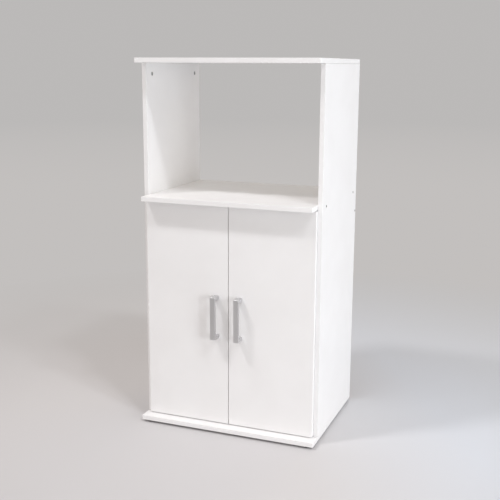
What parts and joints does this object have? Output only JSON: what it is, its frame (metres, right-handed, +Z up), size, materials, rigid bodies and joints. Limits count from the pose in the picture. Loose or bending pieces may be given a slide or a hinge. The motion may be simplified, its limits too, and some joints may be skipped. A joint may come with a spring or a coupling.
{
  "type": "microwave cabinet",
  "caption": "Free-standing microwave cabinet: an open bay under a top panel, over a two-door cupboard with upright bar handles and an inner shelf.",
  "frame": {"origin": "on the floor, under the middle of the cabinet's box", "axes": "+Z up, the front with the doors faces -Y, +X is to the right of someone facing the doors"},
  "size_m": [0.6, 0.454, 1.198],
  "materials": {
    "white_melamine": "satin white melamine facing on particle board, edges banded in white",
    "hardboard": "thin hardboard with a matt white face",
    "satin_nickel": "satin nickel plating",
    "hinge_steel": "nickel-plated pressed steel",
    "zinc_plated_steel": "bright zinc plating",
    "cast_zinc": "dull cast zinc",
    "glide_plastic": "moulded black plastic"
  },
  "bodies": {
    "carcass": {"back_panel": "hardboard", "base_panel": "white_melamine", "inner_shelf": "white_melamine", "left_front_base_screw": "zinc_plated_steel", "left_front_cam_bolt": "zinc_plated_steel", "left_front_cam_lock": "cast_zinc", "left_front_glide": "glide_plastic", "left_front_shelf_pin": "zinc_plated_steel", "left_front_shelf_screw": "zinc_plated_steel", "left_lower_hinge_arm": "hinge_steel", "left_lower_hinge_plate": "hinge_steel", "left_rail_screw": "zinc_plated_steel", "left_rear_base_screw": "zinc_plated_steel", "left_rear_cam_bolt": "zinc_plated_steel", "left_rear_cam_lock": "cast_zinc", "left_rear_glide": "glide_plastic", "left_rear_shelf_pin": "zinc_plated_steel", "left_rear_shelf_screw": "zinc_plated_steel", "left_side_panel": "white_melamine", "left_upper_hinge_arm": "hinge_steel", "left_upper_hinge_plate": "hinge_steel", "microwave_shelf": "white_melamine", "rear_rail": "white_melamine", "right_front_base_screw": "zinc_plated_steel", "right_front_cam_bolt": "zinc_plated_steel", "right_front_cam_lock": "cast_zinc", "right_front_glide": "glide_plastic", "right_front_shelf_pin": "zinc_plated_steel", "right_front_shelf_screw": "zinc_plated_steel", "right_lower_hinge_arm": "hinge_steel", "right_lower_hinge_plate": "hinge_steel", "right_rail_screw": "zinc_plated_steel", "right_rear_base_screw": "zinc_plated_steel", "right_rear_cam_bolt": "zinc_plated_steel", "right_rear_cam_lock": "cast_zinc", "right_rear_glide": "glide_plastic", "right_rear_shelf_pin": "zinc_plated_steel", "right_rear_shelf_screw": "zinc_plated_steel", "right_side_panel": "white_melamine", "right_upper_hinge_arm": "hinge_steel", "right_upper_hinge_plate": "hinge_steel", "top_panel": "white_melamine"},
    "left_door_leaf": {"left_door": "white_melamine", "left_handle": "satin_nickel", "left_lower_handle_screw": "zinc_plated_steel", "left_lower_hinge_cup": "hinge_steel", "left_upper_handle_screw": "zinc_plated_steel", "left_upper_hinge_cup": "hinge_steel"},
    "right_door_leaf": {"right_door": "white_melamine", "right_handle": "satin_nickel", "right_lower_handle_screw": "zinc_plated_steel", "right_lower_hinge_cup": "hinge_steel", "right_upper_handle_screw": "zinc_plated_steel", "right_upper_hinge_cup": "hinge_steel"}
  },
  "joints": [
    {"name": "left_door_hinge", "type": "hinge", "parent": "carcass", "child": "left_door_leaf", "pos_m": [-0.2885, -0.176, 0.3875], "axis": [0, 0, -1], "range_deg": [0, 105]},
    {"name": "right_door_hinge", "type": "hinge", "parent": "carcass", "child": "right_door_leaf", "pos_m": [0.2885, -0.176, 0.3875], "axis": [0, 0, 1], "range_deg": [0, 105]}
  ]
}
